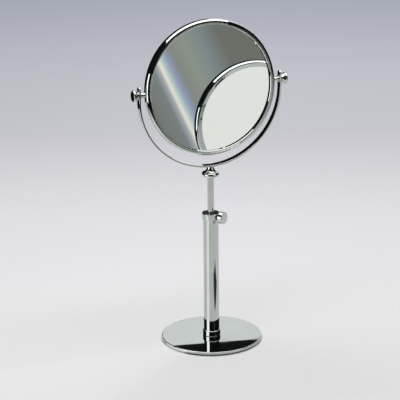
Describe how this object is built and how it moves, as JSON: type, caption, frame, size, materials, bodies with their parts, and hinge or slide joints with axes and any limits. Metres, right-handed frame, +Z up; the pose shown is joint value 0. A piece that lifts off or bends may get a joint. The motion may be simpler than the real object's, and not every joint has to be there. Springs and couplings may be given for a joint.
{
  "type": "extendable shaving mirror",
  "caption": "Round double-sided chrome table mirror that tilts in a U-shaped yoke on a telescopic column with a side clamp knob and a round foot plate.",
  "frame": {"origin": "centre of the foot, on the table that the object stands on", "axes": "+Z up along the column, -Y the way the plain glass looks, X along the axis on which the mirror tilts"},
  "size_m": [0.2102, 0.13, 0.429],
  "materials": {
    "chrome_plate": "polished chrome plate on a steel disc",
    "chrome_turned": "polished chrome on turned brass",
    "chrome_tube": "polished chrome on drawn tube",
    "chrome_knobs": "polished chrome on turned knobs",
    "chrome_strip": "polished chrome on bent flat strip",
    "chrome_rim": "polished chrome on the mirror's frame",
    "mirror_glass": "silvered clear glass",
    "black_acetal": "black acetal",
    "white_nylon": "natural nylon",
    "black_rubber": "soft black rubber",
    "steel_screws": "stainless steel fixings",
    "brass_insert": "turned brass",
    "spacer_board": "hardboard",
    "green_felt": "thin felt"
  },
  "bodies": {
    "stand": {"base_disc": "chrome_plate", "rubber_feet": "black_rubber", "base_screw": "steel_screws", "lower_collar": "chrome_turned", "column_tube": "chrome_tube", "tube_plug": "steel_screws", "upper_collar": "chrome_turned", "guide_bush": "black_acetal", "clamp_insert": "brass_insert"},
    "slider": {"rod_piston": "white_nylon"},
    "head": {"extension_rod": "chrome_tube", "piston_washer": "steel_screws", "piston_screw": "steel_screws", "swivel_boss": "chrome_turned", "yoke": "chrome_strip", "yoke_screw": "steel_screws"},
    "mirror": {"mirror_rim": "chrome_rim", "front_retaining_ring": "chrome_rim", "rear_retaining_ring": "chrome_rim", "plain_glass": "mirror_glass", "magnifying_glass": "mirror_glass", "spacer_ring": "spacer_board", "backing_felt": "green_felt", "pivot_stub_left": "chrome_turned", "pivot_stub_right": "chrome_turned", "inner_washers": "white_nylon"},
    "washer_left": {"thrust_washer_left": "steel_screws"},
    "washer_right": {"thrust_washer_right": "steel_screws"},
    "knob_left": {"pivot_knob_left": "chrome_knobs", "knob_screw_left": "steel_screws"},
    "knob_right": {"pivot_knob_right": "chrome_knobs", "knob_screw_right": "steel_screws"},
    "pad": {"clamp_pad": "white_nylon"},
    "clamp": {"clamp_knob": "chrome_knobs", "clamp_screw": "steel_screws"}
  },
  "joints": [
    {"name": "height_slide", "type": "slide", "parent": "stand", "child": "slider", "axis": [0, 0, 1], "range_m": [-0.048, 0.0545]},
    {"name": "head_swivel", "type": "hinge", "parent": "slider", "child": "head", "pos_m": [0, 0, 0.2], "axis": [0, 0, 1], "continuous": true},
    {"name": "mirror_tilt", "type": "hinge", "parent": "head", "child": "mirror", "pos_m": [0, 0, 0.3411], "axis": [1, 0, 0], "continuous": true},
    {"name": "washer_left_travel", "type": "slide", "parent": "mirror", "child": "washer_left", "axis": [-1, 0, 0], "range_m": [0, 0.0005]},
    {"name": "washer_right_travel", "type": "slide", "parent": "mirror", "child": "washer_right", "axis": [1, 0, 0], "range_m": [0, 0.0005]},
    {"name": "knob_left_turn", "type": "hinge", "parent": "washer_left", "child": "knob_left", "pos_m": [-0.098, 0, 0.3411], "axis": [-1, 0, 0], "range_deg": [0, 360]},
    {"name": "knob_right_turn", "type": "hinge", "parent": "washer_right", "child": "knob_right", "pos_m": [0.098, 0, 0.3411], "axis": [1, 0, 0], "range_deg": [0, 360]},
    {"name": "clamp_pad_travel", "type": "slide", "parent": "stand", "child": "pad", "axis": [0.5736, -0.8192, 0], "range_m": [0, 0.0014]},
    {"name": "clamp_knob_turn", "type": "hinge", "parent": "pad", "child": "clamp", "pos_m": [0, 0, 0.1688], "axis": [0.5736, -0.8192, 0], "range_deg": [0, 720]}
  ],
  "couplings": [
    {"joint": "knob_left_turn", "follows": "washer_left_travel", "rad_per_m": 12566},
    {"joint": "knob_right_turn", "follows": "washer_right_travel", "rad_per_m": 12566},
    {"joint": "clamp_knob_turn", "follows": "clamp_pad_travel", "rad_per_m": 8976}
  ]
}
